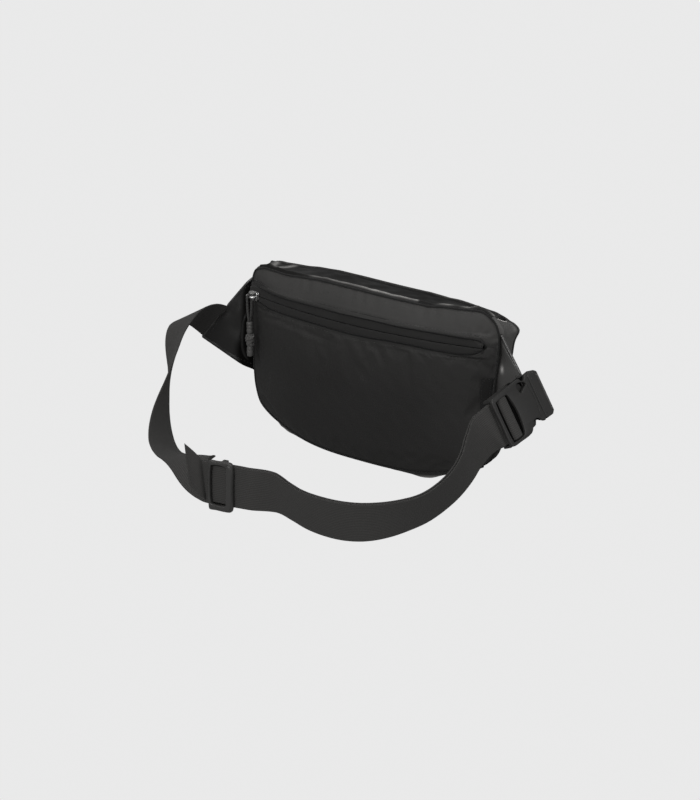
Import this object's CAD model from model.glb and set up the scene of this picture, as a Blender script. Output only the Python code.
"""Waist-worn throw rope bag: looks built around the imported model.

Lengths are millimetres in the bag frame. x runs to the right along the top seam, y from the
back seam (y = 0) towards the front face, z up (z = 0 at the top seam). The back panel with the
main zip faces -y. to_model() turns the points into metres of the model frame.
"""
import math

import bmesh
import bpy
import numpy as np
from mathutils import Matrix, Vector

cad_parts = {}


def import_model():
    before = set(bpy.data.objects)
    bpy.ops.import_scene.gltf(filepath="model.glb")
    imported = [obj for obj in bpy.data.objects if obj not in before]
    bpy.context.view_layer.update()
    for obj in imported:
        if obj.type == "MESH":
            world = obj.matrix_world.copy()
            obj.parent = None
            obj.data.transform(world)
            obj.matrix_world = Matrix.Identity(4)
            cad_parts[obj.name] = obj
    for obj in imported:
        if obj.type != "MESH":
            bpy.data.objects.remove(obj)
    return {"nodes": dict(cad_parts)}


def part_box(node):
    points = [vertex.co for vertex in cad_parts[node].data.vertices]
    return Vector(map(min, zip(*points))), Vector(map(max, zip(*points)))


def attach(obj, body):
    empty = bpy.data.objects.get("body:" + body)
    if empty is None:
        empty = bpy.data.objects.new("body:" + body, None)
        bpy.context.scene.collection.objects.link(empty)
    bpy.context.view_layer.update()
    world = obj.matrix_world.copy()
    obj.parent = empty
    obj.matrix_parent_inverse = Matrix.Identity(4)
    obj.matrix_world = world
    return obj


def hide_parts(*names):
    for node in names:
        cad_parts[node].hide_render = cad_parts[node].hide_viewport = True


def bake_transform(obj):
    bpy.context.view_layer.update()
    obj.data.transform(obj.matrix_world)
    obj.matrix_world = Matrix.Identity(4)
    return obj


model_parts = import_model()["nodes"]
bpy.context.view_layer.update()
scene = bpy.context.scene

# ---------------------------------------------------------------- driving sizes of the pouch
MM = 0.001
FRONT_Y, CENTRE_Z = 58.0, -82.0         # front face, and mid height of the pouch
ORIGIN = np.array([0.0, -FRONT_Y, -CENTRE_Z])   # the bag frame's origin in the model frame
BOW = 0.0009                            # the back seam curves forward by BOW * x * x
BACK_DOME = 11.5                        # how far the back panel swells out of its seam
TOP_DEPTH, LOW_DEPTH = 31.0, 14         # gusset depth along the top and at the bottom
ZIP_Z, ZIP_HALF = -29.0, 8.0            # height of both zips, half height of their flat band
BACK_R, BACK_Y = 500.0, -10.0           # arc of the back zip in plan, and its y at x = 0
FRONT_R, FRONT_ZIP_Y = 800.0, 56.8      # the same for the front zip
PANEL_T, GUSSET_T, WING_T = 1.7, 1.3, 1.9
BACKWARD, FORWARD = (0, -1, 0), (0, 1, 0)

# right half of the pouch outline, x and z, from the top centre to the bottom centre
HALF_OUTLINE = [
    [0, 0], [60, -.4], [104, -.8], [120, -2.6], [128.6, -7.6], [132.6, -17], [133.4, -35],
    [133.2, -80], [132.6, -108], [130.4, -124], [124.6, -137.5], [112, -146], [92, -153],
    [70, -158.6], [45, -161.4], [0, -162]]


# ---------------------------------------------------------------- numbers and curves
def to_model(points):
    return (np.asarray(points, float) + ORIGIN) * MM


def mesh_points(mesh):
    """Vertices of a mesh in the bag frame."""
    flat = np.zeros(len(mesh.vertices) * 3, np.float32)
    mesh.vertices.foreach_get("co", flat)
    return flat.reshape(-1, 3) / MM - ORIGIN


def ramp(value, start, width):
    """Smooth step from 0 at start to 1 at start + width."""
    share = np.clip((value - start) / width, 0, 1)
    return share * share * (3 - 2 * share)


def fall(value, start, width):
    return 1 - ramp(value, start, width)


def bell(offset, width):
    return np.exp(-(offset / width)**2)


def unit(vector):
    return vector / np.maximum(np.linalg.norm(vector, axis=-1, keepdims=True), 1e-12)


def square_to(vector, axis):
    """Unit vector nearest to vector that is square to axis."""
    vector = np.array(vector)
    return unit(vector - axis * np.dot(vector, axis))


def lerp(start, end, share):
    return np.asarray(start, float) * (1 - share) + np.asarray(end, float) * share


def ripple(x, z, seed, wave=40.0, count=7):
    """Deterministic soft noise, about -1..1."""
    rng = np.random.RandomState(seed)
    total = np.zeros(np.broadcast(x, z).shape)
    for _ in range(count):
        angle = rng.uniform(0, 2 * math.pi)
        period = wave * rng.uniform(0.55, 1.6)
        run = (x * math.cos(angle) + z * math.sin(angle)) * 2 * math.pi / period
        total = total + np.sin(run + rng.uniform(0, 6.28)) * rng.uniform(0.4, 1)
    return total / (0.55 * count)


def curve_through(points, closed, per_span):
    """Centripetal curve through points, per_span samples to a span."""
    points = np.asarray(points, float)
    count = len(points)
    t = (np.arange(per_span) / per_span)[:, None]
    curve = []
    for i in range(count if closed else count - 1):
        start, end = points[i], points[(i + 1) % count]
        before = points[i - 1] if closed or i > 0 else 2 * points[0] - points[1]
        inner = closed or i < count - 2
        after = points[(i + 2) % count] if inner else 2 * points[-1] - points[-2]
        gap_in, gap, gap_out = [
            max(np.sum((far - near)**2), 1e-12)**0.25
            for near, far in ((before, start), (start, end), (end, after))]
        chord = (end - start) / gap
        leave = ((start - before) / gap_in - (end - before) / (gap_in + gap) + chord) * gap
        arrive = (chord - (after - start) / (gap + gap_out) + (after - end) / gap_out) * gap
        curve.append((2 * t**3 - 3 * t**2 + 1) * start + (t**3 - 2 * t**2 + t) * leave
                     + (-2 * t**3 + 3 * t**2) * end + (t**3 - t**2) * arrive)
    curve = np.concatenate(curve)
    return curve if closed else np.vstack([curve, points[-1]])


def run_lengths(points):
    """Length run from the first point to each point."""
    steps = np.linalg.norm(np.diff(points, axis=0), axis=1)
    return np.concatenate([[0], np.cumsum(steps)])


def sample(points, lengths, where):
    """Points of a polyline at the run lengths where."""
    return np.stack([np.interp(where, lengths, column) for column in points.T], -1)


def even_stops(lengths, step):
    return np.linspace(0, lengths[-1], max(2, int(round(lengths[-1] / step)) + 1))


def resample(points, step):
    points = np.asarray(points, float)
    lengths = run_lengths(points)
    return sample(points, lengths, even_stops(lengths, step))


def blurred(values, kernel):
    padded = np.pad(values, len(kernel) // 2, mode="edge")
    return np.convolve(padded, kernel / kernel.sum(), "valid")


# ---------------------------------------------------------------- outline and faces of the pouch
rim = curve_through(HALF_OUTLINE + [[-x, z] for x, z in HALF_OUTLINE[1:-1][::-1]], True, 60)
rim_loop = np.vstack([rim, rim[:1]])
rim_lengths = run_lengths(rim_loop)
GIRTH = rim_lengths[-1]
rim_angle = np.arctan2(rim[:, 1] - CENTRE_Z, rim[:, 0])
by_angle = np.argsort(rim_angle)
rim_angle = rim_angle[by_angle]
rim_radius = np.hypot(rim[by_angle, 0], rim[by_angle, 1] - CENTRE_Z)


def outline(arc):
    """Outline points (x, z) and outward normals at arc, 0 at the top centre, positive to +x."""
    arc = np.asarray(arc, float)

    def at(where):
        return sample(rim_loop, rim_lengths, np.mod(where, GIRTH))
    tangent = unit(at(arc + 1.5) - at(arc - 1.5))
    return at(arc), np.stack([-tangent[..., 1], tangent[..., 0]], -1)


def arc_at(side, z):
    """Arc position on the left (-1) or right (+1) side of the outline at height z."""
    arcs = np.linspace(30, GIRTH / 2 - 60, 4000)
    points, _ = outline(arcs * side)
    return side * arcs[np.argmin(np.abs(points[:, 1] - z))]


def arc_near(x, z):
    arcs = np.linspace(-GIRTH / 2, GIRTH / 2, 6000)
    points, _ = outline(arcs)
    return arcs[np.argmin(np.hypot(points[:, 0] - x, points[:, 1] - z))]


def rho(x, z):
    """0 at the middle of the pouch, 1 on its outline."""
    angle = np.arctan2(z - CENTRE_Z, x)
    edge = np.interp(angle, rim_angle, rim_radius, period=2 * math.pi)
    return np.minimum(1.0, np.hypot(x, z - CENTRE_Z) / edge)


def seam_y(x):
    return BOW * x * x


def depth_at(x, z):
    top = TOP_DEPTH - 6 * ramp(np.abs(x), 70, 60)
    return np.where(z > -8, top, top + (LOW_DEPTH - top) * ramp(-z, 8, 115))


def zip_band(z):
    """1 in the flat band along the zips, 0 away from it."""
    return fall(np.abs(z - ZIP_Z) - ZIP_HALF, 0.6, 3.6)


def back_zip_y(x):
    return BACK_Y + BACK_R - np.sqrt(BACK_R**2 - x * x)


def front_zip_y(x):
    return FRONT_ZIP_Y - FRONT_R + np.sqrt(FRONT_R**2 - x * x)


def dome(x, z):
    return seam_y(x) - BACK_DOME * (1 - rho(x, z)**6)


def back_y(x, z):
    swell = dome(x, z)
    flat = zip_band(z) * fall(np.abs(x), 112, 18)
    return swell + (back_zip_y(x) - 1.2 - swell) * flat


def front_y(x, z):
    share = rho(x, z)
    edge = seam_y(x) + depth_at(x, z)
    turn = math.pi / 2 * np.clip((share - 0.45) / 0.55, 0, 1)
    swell = np.where(share <= 0.45, FRONT_Y, edge + (FRONT_Y - edge) * np.cos(turn))
    flat = zip_band(z) * fall(np.abs(x), 96, 20)
    return swell + (front_zip_y(x) + 1.2 - swell) * flat


# ---------------------------------------------------------------- relaxed hang
# rise of the top seam: x, rise
TOP_SEAM_RISE = [
    (-140, -1.0), (-131, -1.5), (-125, -2.4), (-102, -3.2), (-90, -3.6), (-83, -3.1), (-71, -1.2),
    (-59, -.3), (-47, .8), (-20, .9), (0, .5), (30, -.2), (59, -.8), (69, -1.2), (79, .4),
    (97, 1.0), (111, 2.6), (116, 3.0), (120, 2.6), (125, 1.6), (130, .2), (140, 0)]
# further rise of the front upper edge: x, rise
FRONT_EDGE_RISE = [
    (-140, 0), (-110, -1.2), (-90, 0), (50, 0), (66, -1), (80, -3.2), (90, -4.6), (100, -6.2),
    (110, -8.2), (119, -9.4), (127, -8.4), (131, -5.5), (134, -1.5), (140, 0)]
hang_x = np.linspace(-140, 140, 281)
top_rise = blurred(np.interp(hang_x, *np.array(TOP_SEAM_RISE).T), np.exp(-np.linspace(-2, 2, 13)**2))
front_rise = np.interp(hang_x, *np.array(FRONT_EDGE_RISE).T)


def settle(points):
    """The relaxed hang of the pouch, applied to every sewn piece alike."""
    points = np.array(points, float)
    x, z = points[..., 0].copy(), points[..., 2].copy()
    points[..., 2] += np.interp(x, hang_x, top_rise) * ramp(z, -24, 22)
    # the front upper corner on the right hangs lower than the back one and stays pointed
    far = ramp(points[..., 1] - seam_y(x), 0, 24)
    points[..., 2] += np.interp(x, hang_x, front_rise) * ramp(z, -40, 26) * far
    points[..., 0] += 5.2 * ramp(x, 100, 30) * far * bell(z + 15, 10)
    # the right seam is drawn in by its wing
    points[..., 0] -= 4.2 * bell(z + 74, 26) * ramp(x, 70, 60) * fall(x, 138, 16)
    return points


# ---------------------------------------------------------------- zip openings
def lip_curve(stations):
    """Softened height of a lip over x, from stations of x and z."""
    x = np.linspace(-140, 140, 561)
    kernel = np.exp(-(np.arange(-8, 9) * 0.5 / 1.6)**2 / 2)
    z = blurred(np.interp(x, *np.array(stations, float).T), kernel)
    return lambda where: np.interp(where, x, z)


back_lip_top = lip_curve([
    (-136, -25.5), (-130, -22.2), (-124, -20.2), (-116, -20), (-109, -20.7), (-102, -21.6),
    (-89, -22.2), (-76, -21.8), (-64, -21.4), (-40, -20.9), (-17, -20.7), (5, -20.2), (26, -20.4),
    (46, -21), (84, -21.1), (103, -21.5), (112, -21.5), (117, -21.8), (120.6, -23),
    (122.8, -25.6), (124.4, -29), (136, -29)])
back_lip_low = lip_curve([
    (-136, -28.5), (-130, -31.5), (-119, -34), (-109, -36), (-102, -37.2), (-89, -37.5),
    (-52, -37.4), (5, -37.8), (16, -37.6), (36, -36.4), (56, -36.4), (75, -37.1), (94, -37.3),
    (103, -37.3), (112, -36.4), (118, -34.6), (122, -32), (124.4, -29), (136, -29)])
front_lip_top = lip_curve([
    (-136, -29), (-107, -29), (-104, -23.5), (-98, -21), (56, -21), (84, -19.2), (98, -18.2),
    (104, -20.5), (107, -29), (136, -29)])
front_lip_low = lip_curve([
    (-136, -29), (-107, -29), (-104, -34.5), (-98, -37), (98, -37), (104, -34.5), (107, -29),
    (136, -29)])


# ---------------------------------------------------------------- mesh helpers
def enrol(obj, slot, *replaced, body="bag"):
    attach(obj, body)
    if replaced:
        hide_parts(*replaced)
    return obj


def link_mesh(name, mesh, mat, smooth=True):
    mesh.polygons.foreach_set("use_smooth", np.full(len(mesh.polygons), smooth))
    mesh.materials.append(mat)
    obj = bpy.data.objects.new(name, mesh)
    scene.collection.objects.link(obj)
    return obj


def plain_mesh(name, points, faces):
    mesh = bpy.data.meshes.new(name)
    mesh.from_pydata([tuple(p) for p in to_model(points).reshape(-1, 3)], [],
                     [tuple(int(i) for i in face) for face in faces])
    return mesh


def add_mesh(name, points, faces, mat, uv=None, smooth=True):
    mesh = plain_mesh(name, points, faces)
    if uv is not None:
        layer = mesh.uv_layers.new(name="UVMap")
        corners = np.zeros(len(mesh.loops), np.int32)
        mesh.loops.foreach_get("vertex_index", corners)
        layer.data.foreach_set("uv", np.asarray(uv, np.float32)[corners].ravel())
    work = bmesh.new()
    work.from_mesh(mesh)
    bmesh.ops.recalc_face_normals(work, faces=work.faces)
    work.to_mesh(mesh)
    work.free()
    return link_mesh(name, mesh, mat, smooth)


def grid_quads(rows, columns, wrap_rows=False, wrap_columns=True):
    i, j = np.meshgrid(np.arange(rows if wrap_rows else rows - 1),
                       np.arange(columns if wrap_columns else columns - 1), indexing="ij")
    here, below, right = i * columns, (i + 1) % rows * columns, (j + 1) % columns
    quads = np.stack([here + j, below + j, below + right, here + right], -1)
    return quads.reshape(-1, 4).tolist()


def facing_normals(points, toward, closed=False):
    """Unit normals of a grid, turned to the side toward points to."""
    if closed:
        ring = np.concatenate([points[-1:], points, points[:1]])
        down = ring[2:] - ring[:-2]
    else:
        down = np.gradient(points, axis=0)
    normal = unit(np.cross(down, np.gradient(points, axis=1)))
    sign = np.sign(np.sum(normal * np.asarray(toward, float), -1, keepdims=True))
    sign[sign == 0] = 1
    return normal * sign


def slab(outer, inner, edge_steps=3, closed=False, bulge=1.0):
    """A closed slab between two grids, its two long edges rounded by edge_steps points."""
    rows, columns, _ = outer.shape

    def rounded(top, bottom, neighbour):
        middle, half = (top + bottom) / 2, (top - bottom) / 2
        across = unit(half)
        away = top - neighbour
        away = unit(away - np.sum(away * across, -1, keepdims=True) * across)
        away = away * np.linalg.norm(half, axis=-1, keepdims=True) * bulge
        turns = np.linspace(0, math.pi, edge_steps + 2)[1:-1]
        return np.stack([middle + half * math.cos(a) + away * math.sin(a) for a in turns], 1)
    last = rounded(outer[:, -1], inner[:, -1], outer[:, -2])
    first = rounded(outer[:, 0], inner[:, 0], outer[:, 1])[:, ::-1]
    rings = np.concatenate([outer, last, inner[:, ::-1], first], 1)
    size = rings.shape[1]
    faces = grid_quads(rows, size, wrap_rows=closed)
    if not closed:
        for base in (0, (rows - 1) * size):
            mate = base + 2 * columns + edge_steps - 1     # inner point under column 0
            for j in range(columns - 1):
                faces.append([base + j, base + j + 1, mate - j - 1, mate - j])
            faces.append([base + columns - 1 + k for k in range(edge_steps + 2)])
            faces.append([mate + k for k in range(edge_steps + 1)] + [base])
    return rings.reshape(-1, 3), faces


def sheet(name, points, thickness, mat, toward, edge_steps=2, centred=False):
    """A settled sheet; points is its outer face, or its mid face if centred."""
    points = settle(points)
    normal = facing_normals(points, toward)
    lift = thickness / 2 if centred else 0
    verts, faces = slab(points + normal * lift, points + normal * (lift - thickness), edge_steps)
    return add_mesh(name, verts, faces, mat)


def paint(obj, attribute, values):
    """Point attribute on a sheet, from values on its grid.

    Each ring of the sheet holds the outer row, edge points, the inner row and edge points."""
    rows, columns = values.shape
    edge = (len(obj.data.vertices) // rows - 2 * columns) // 2
    rings = np.concatenate([values, np.repeat(values[:, -1:], edge, 1),
                            values[:, ::-1], np.repeat(values[:, :1], edge, 1)], 1)
    write_attribute(obj, attribute, rings)


def write_attribute(obj, attribute, values):
    layer = obj.data.attributes.new(attribute, "FLOAT", "POINT")
    layer.data.foreach_set("value", values.astype(np.float32).reshape(-1))


def tube_mesh(line, radius, sides=12, closed=False, up=(0, 0, 1), profile=None):
    """Tube round a line; radius is one number or one per point, profile(run, angle) scales it."""
    line = np.asarray(line, float)
    count = len(line)
    if closed:
        tangent = unit(np.roll(line, -1, 0) - np.roll(line, 1, 0))
    else:
        tangent = unit(np.gradient(line, axis=0))
    # carry the up direction along the line without twist
    upward = np.zeros_like(line)
    carried = np.asarray(up, float)
    for i in range(count):
        carried = carried - np.dot(carried, tangent[i]) * tangent[i]
        carried = carried / max(np.linalg.norm(carried), 1e-9)
        upward[i] = carried
    sideways = np.cross(tangent, upward)
    angle = (2 * math.pi * np.arange(sides) / sides)[None, :]
    radii = np.broadcast_to(np.reshape(radius, (-1, 1)), (count, sides))
    if profile is not None:
        radii = radii * profile(run_lengths(line)[:, None], angle)
    round_part = (upward[:, None] * np.cos(angle)[..., None]
                  + sideways[:, None] * np.sin(angle)[..., None])
    verts = (line[:, None] + radii[..., None] * round_part).reshape(-1, 3)
    faces = grid_quads(count, sides, wrap_rows=closed)
    if not closed:
        poke = radius * 0.35 if np.isscalar(radius) else 0.0
        first, last, base = len(verts), len(verts) + 1, (count - 1) * sides
        verts = np.vstack([verts, line[0] - tangent[0] * poke, line[-1] + tangent[-1] * poke])
        for k in range(sides):
            faces.append([first, (k + 1) % sides, k])
            faces.append([last, base + k, base + (k + 1) % sides])
    return verts, faces


def merged(parts):
    verts, faces, count = [], [], 0
    for part_verts, part_faces in parts:
        verts.append(np.asarray(part_verts, float))
        faces.extend([[i + count for i in face] for face in part_faces])
        count += len(part_verts)
    return np.vstack(verts), faces


def tube(name, line, radius, mat, slot, *replaced, sides=10, closed=False, up=(0, 0, 1),
         profile=None, body="bag"):
    verts, faces = tube_mesh(line, radius, sides, closed, up, profile)
    return enrol(add_mesh(name, verts, faces, mat), slot, *replaced, body=body)


DASH = np.array([0, .12, .35, .65, .88, 1])    # stations along one thread dash


def stitches(line, normal, pitch=3.2, length=2.3, radius=0.24, sink=0.05):
    """Thread dashes along a line lying on a surface with the given outward normal."""
    line = np.asarray(line, float)
    normal = np.asarray(normal, float) * np.ones_like(line)
    lengths = run_lengths(line)
    height = (-sink - radius * 0.9 + radius * np.sin(math.pi * DASH))[:, None]
    thickness = radius * (0.45 + 0.55 * np.sin(math.pi * np.clip(DASH, 0.02, 0.98))**0.4)
    parts = []
    for k in range(int((lengths[-1] - length) / pitch) + 1):
        start = 0.4 + k * pitch
        where = start + DASH * length
        dash = sample(line, lengths, where) + sample(normal, lengths, where) * height
        parts.append(tube_mesh(dash, thickness, 6, up=sample(normal, lengths, start)))
    return merged(parts)


# ---------------------------------------------------------------- material kit
def set_inputs(node, values):
    for key, value in values.items():
        node.inputs[key].default_value = value


class Shader:
    """A node material being built; all its heights end in one bump node."""

    def __init__(self, name, color, rough, metallic=0.0, spec=0.3, sheen=0.0):
        self.material = bpy.data.materials.new(name)
        self.material.use_nodes = True
        self.tree = self.material.node_tree
        self.surface = self.tree.nodes["Principled BSDF"]
        self.color = tuple(color)
        set_inputs(self.surface, {"Base Color": (*self.color, 1), "Roughness": rough,
                                  "Metallic": metallic, "Specular IOR Level": spec})
        if sheen:
            set_inputs(self.surface, {"Sheen Weight": sheen, "Sheen Roughness": 0.5})
        self.texture_space = self.node("ShaderNodeTexCoord")
        self.height = None

    def node(self, kind, **settings):
        node = self.tree.nodes.new(kind)
        for key, value in settings.items():
            setattr(node, key, value)
        return node

    def link(self, source, target):
        self.tree.links.new(source, target)

    def calc(self, operation, *values):
        node = self.node("ShaderNodeMath", operation=operation)
        for i, value in enumerate(values):
            if hasattr(value, "is_output"):
                self.link(value, node.inputs[i])
            else:
                node.inputs[i].default_value = value
        return node.outputs[0]

    def coords(self, uv=False, scale=(1, 1, 1), turn=(0, 0, 0)):
        mapping = self.node("ShaderNodeMapping")
        self.link(self.texture_space.outputs["UV" if uv else "Object"], mapping.inputs["Vector"])
        set_inputs(mapping, {"Scale": scale, "Rotation": [math.radians(a) for a in turn]})
        return mapping.outputs[0]

    def noise(self, scale, detail=4, rough=0.55, uv=False, stretch=(1, 1, 1)):
        texture = self.node("ShaderNodeTexNoise")
        self.link(self.coords(uv, stretch), texture.inputs["Vector"])
        set_inputs(texture, {"Scale": scale, "Detail": detail, "Roughness": rough})
        return texture.outputs["Fac"]

    def wave(self, period, axis, uv=False, turn=(0, 0, 0)):
        """Bands across axis, period in metres, turned by degrees."""
        texture = self.node("ShaderNodeTexWave", wave_type="BANDS", bands_direction=axis)
        self.link(self.coords(uv, turn=turn), texture.inputs["Vector"])
        set_inputs(texture, {"Scale": 0.314159 / period})
        return texture.outputs["Fac"]

    def attribute(self, name):
        node = self.node("ShaderNodeAttribute")
        node.attribute_name = name
        return node.outputs["Fac"]

    def map_range(self, value, low, high, clamp=True):
        node = self.node("ShaderNodeMapRange", clamp=clamp)
        self.link(value, node.inputs["Value"])
        set_inputs(node, {"To Min": low, "To Max": high})
        return node.outputs[0]

    def add_height(self, value, amount):
        value = self.calc("MULTIPLY", value, amount)
        self.height = value if self.height is None else self.calc("ADD", self.height, value)

    def shade(self, value, low, high):
        """The base colour is scaled from low to high with value."""
        scaled = self.node("ShaderNodeVectorMath", operation="SCALE")
        scaled.inputs[0].default_value = self.color
        self.link(self.map_range(value, low, high, clamp=False), scaled.inputs["Scale"])
        self.link(scaled.outputs[0], self.surface.inputs["Base Color"])

    def vary_rough(self, value, low, high):
        self.link(self.map_range(value, low, high), self.surface.inputs["Roughness"])

    def finish(self, strength=0.9):
        bump = self.node("ShaderNodeBump")
        set_inputs(bump, {"Strength": strength, "Distance": 0.001})
        self.link(self.height, bump.inputs["Height"])
        self.link(bump.outputs[0], self.surface.inputs["Normal"])
        return self.material


def ripstop(name, color, rough, spec, grid=5.0, fade=False):
    """Fine weave with raised lines every grid mm; fade adds the painted rim_tone."""
    shader = Shader(name, color, rough, spec=spec)
    position = shader.node("ShaderNodeSeparateXYZ")
    shader.link(shader.texture_space.outputs["Object"], position.inputs[0])
    lines = None
    line_width = 0.42
    for axis in ("X", "Z"):
        cell = shader.calc("FRACT", shader.calc("MULTIPLY", position.outputs[axis], 1000.0 / grid))
        away = shader.calc("ABSOLUTE", shader.calc("SUBTRACT", cell, 0.5))
        away = shader.calc("MINIMUM", shader.calc("MULTIPLY", away, grid / line_width), 1.0)
        line = shader.calc("SUBTRACT", 1.0, away)
        lines = line if lines is None else shader.calc("MAXIMUM", lines, line)
    weave = shader.calc("MULTIPLY", shader.wave(0.0009, "X"), shader.wave(0.0009, "Z"))
    shader.add_height(lines, 0.045)
    shader.add_height(weave, 0.06)
    shader.add_height(shader.noise(60, detail=3), 0.4)
    shader.add_height(shader.noise(1100, detail=2), 0.05)
    tone = shader.calc("ADD", shader.calc("MULTIPLY", shader.noise(14), 0.5),
                       shader.calc("MULTIPLY", lines, 0.07))
    if fade:
        tone = shader.calc("ADD", tone, shader.attribute("rim_tone"))
    shader.shade(tone, low=0.82, high=1.34)
    shader.vary_rough(shader.noise(220, detail=2), rough - 0.08, rough + 0.06)
    return shader.finish()


def coated(name, color, rough, spec, crumple, worn=0.0):
    """Crumpled coated cloth; worn scales the painted wear, pale on ridges and dark in folds."""
    shader = Shader(name, color, rough, spec=spec)
    weave = shader.calc("MULTIPLY", shader.wave(0.0012, "X"), shader.wave(0.0012, "Y"))
    shader.add_height(weave, 0.018)
    shader.add_height(shader.noise(38, detail=5, rough=0.6), 1.6 * crumple)
    shader.add_height(shader.noise(120, detail=3, rough=0.5, stretch=(1, 1.8, 1)), 0.35 * crumple)
    tone = shader.noise(18)
    if worn:
        wear = shader.calc("MULTIPLY", shader.attribute("wear"), worn)
        tone = shader.calc("MAXIMUM", shader.calc("ADD", tone, wear), -1.6)
        gloss = shader.calc("ADD", shader.calc("MULTIPLY", wear, 0.66), 1.0)
        gloss = shader.calc("MINIMUM", shader.calc("MAXIMUM", gloss, 0.02), 1.6)
        shader.link(shader.calc("MULTIPLY", gloss, spec),
                    shader.surface.inputs["Specular IOR Level"])
    shader.shade(tone, low=0.8, high=1.25)
    shader.vary_rough(shader.noise(90, detail=3), rough - 0.06, rough + 0.12)
    return shader.finish()


def twill(name, color, rough=0.8, pitch=0.0011):
    shader = Shader(name, color, rough, spec=0.22, sheen=0.05)
    shader.add_height(shader.wave(pitch, "X", turn=(0, 45, 0)), 0.12)
    shader.add_height(shader.wave(pitch * 0.8, "Z"), 0.04)
    shader.shade(shader.noise(40), low=0.85, high=1.2)
    return shader.finish()


def webbing(name, color, rough, spec):
    """Ribbed webbing; uv x runs along the length and y across, in metres."""
    shader = Shader(name, color, rough, spec=spec, sheen=0.03)
    rib = shader.wave(0.00172, "Y", uv=True)
    pick = shader.wave(0.0013, "X", uv=True)
    shader.add_height(shader.calc("MULTIPLY", rib, pick), 0.18)
    shader.add_height(shader.noise(900, detail=2, uv=True, stretch=(1, 2.2, 1)), 0.08)
    soft = shader.noise(9, detail=3, uv=True)
    fine = shader.noise(420, detail=2, uv=True, stretch=(0.25, 1, 1))
    mottle = shader.calc("ADD", shader.calc("MULTIPLY", soft, 0.35),
                         shader.calc("MULTIPLY", fine, 0.25))
    shader.shade(shader.calc("ADD", shader.calc("MULTIPLY", rib, 0.5), mottle), low=0.66, high=1.30)
    shader.vary_rough(fine, rough - 0.06, rough + 0.1)
    return shader.finish()


def plastic(name, color, rough, spec):
    shader = Shader(name, color, rough, spec=spec)
    shader.add_height(shader.noise(1500, detail=3, rough=0.6), 0.06)
    shader.add_height(shader.noise(160, detail=2), 0.10)
    shader.shade(shader.noise(60, detail=5, rough=0.65), low=0.85, high=1.18)
    shader.vary_rough(shader.noise(300, rough=0.7), rough - 0.07, rough + 0.12)
    return shader.finish()


def metal(name, color, rough):
    shader = Shader(name, color, rough, metallic=1.0, spec=0.5)
    shader.add_height(shader.noise(700, detail=3), 0.05)
    shader.shade(shader.noise(300, rough=0.7), low=0.75, high=1.1)
    shader.vary_rough(shader.noise(260, rough=0.7), rough - 0.08, rough + 0.18)
    return shader.finish(0.8)


def cordage(name, color, rough=0.8, pitch=0.0022):
    """Crossed strands, pitch in metres."""
    shader = Shader(name, color, rough, spec=0.25, sheen=0.1)
    strands = shader.calc("MAXIMUM", shader.wave(pitch, "Z", turn=(35, 35, 0)),
                          shader.wave(pitch, "Z", turn=(-35, -35, 0)))
    shader.add_height(strands, 0.25)
    tone = shader.calc("ADD", shader.calc("MULTIPLY", strands, 0.6),
                       shader.calc("MULTIPLY", shader.noise(200, detail=3), 0.4))
    shader.shade(tone, low=0.6, high=1.3)
    return shader.finish()


def foam(name, color):
    shader = Shader(name, color, 0.95, spec=0.15)
    cells = shader.node("ShaderNodeTexVoronoi")
    shader.link(shader.coords(), cells.inputs["Vector"])
    set_inputs(cells, {"Scale": 900})
    shader.add_height(cells.outputs["Distance"], 0.5)
    shader.shade(shader.noise(30), low=0.85, high=1.15)
    return shader.finish()


# ---------------------------------------------------------------- materials
def warm(level):
    return level * np.array([1.0, 0.975, 0.945])


BACK_UPPER = ripstop("back_upper", warm(0.035), rough=0.72, spec=0.22, fade=True)
BACK_LOWER = ripstop("back_lower", warm(0.0150), rough=0.74, spec=0.2, fade=True)
FRONT = coated("coated_front", warm(0.020), rough=0.36, spec=0.42, crumple=0.8)
GUSSET = coated("coated_gusset", warm(0.009), rough=0.38, spec=0.075, crumple=0.16, worn=90.0)
SIDE = coated("coated_side", warm(0.055), rough=0.5, spec=0.35, crumple=0.5, worn=1.0)
WING_L = coated("coated_wing_left", warm(0.012), rough=0.42, spec=0.3, crumple=0.7, worn=1.0)
WING_R = coated("coated_wing_right", warm(0.034), rough=0.33, spec=0.5, crumple=0.5, worn=1.0)
BINDING = twill("binding", warm(0.008))
TAPE = twill("zip_tape", warm(0.0135), rough=0.82)
LIP_EDGE = twill("lip_edge", warm(0.0022), rough=0.95)
FRONT_BINDING = twill("far_binding", warm(0.03))
COIL = plastic("zip_coil", warm(0.0035), rough=0.6, spec=0.15)
WEBBING = webbing("webbing", warm(0.038), rough=0.85, spec=0.12)
PLASTIC = plastic("moulded_plastic", warm(0.017), rough=0.45, spec=0.3)
METAL = metal("slider_metal", (0.62, 0.62, 0.61), rough=0.24)
CORD = cordage("pull_cord", warm(0.03))
CORD_END = plastic("cord_end", warm(0.055), rough=0.5, spec=0.4)
KNOT = cordage("cord_knot", warm(0.05), rough=0.75, pitch=0.0016)
THREAD = cordage("thread", warm(0.022), rough=0.7, pitch=0.0008)
PALE_THREAD = cordage("thread_pale", warm(0.8), rough=0.7, pitch=0.0008)
LABEL = twill("label", warm(0.0065), rough=0.85, pitch=0.0007)
LINING = ripstop("lining", warm(0.05), rough=0.85, spec=0.2, grid=4.0)
PAD_FOAM = foam("foam", (0.06, 0.06, 0.062))
FLOAT_FOAM = foam("float_foam_mat", (0.45, 0.30, 0.05))
ROPE = cordage("rope", (0.75, 0.28, 0.05), pitch=0.006)
CAVITY = plastic("cavity", warm(0.0018), rough=0.9, spec=0.05)
GLIDE = plastic("glide_plastic", warm(0.032), rough=0.42, spec=0.4)


def threads(name, rows, slot="binding", mat=THREAD):
    """One object of several rows of stitches."""
    return enrol(add_mesh(name, *merged(rows), mat), slot)


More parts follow.
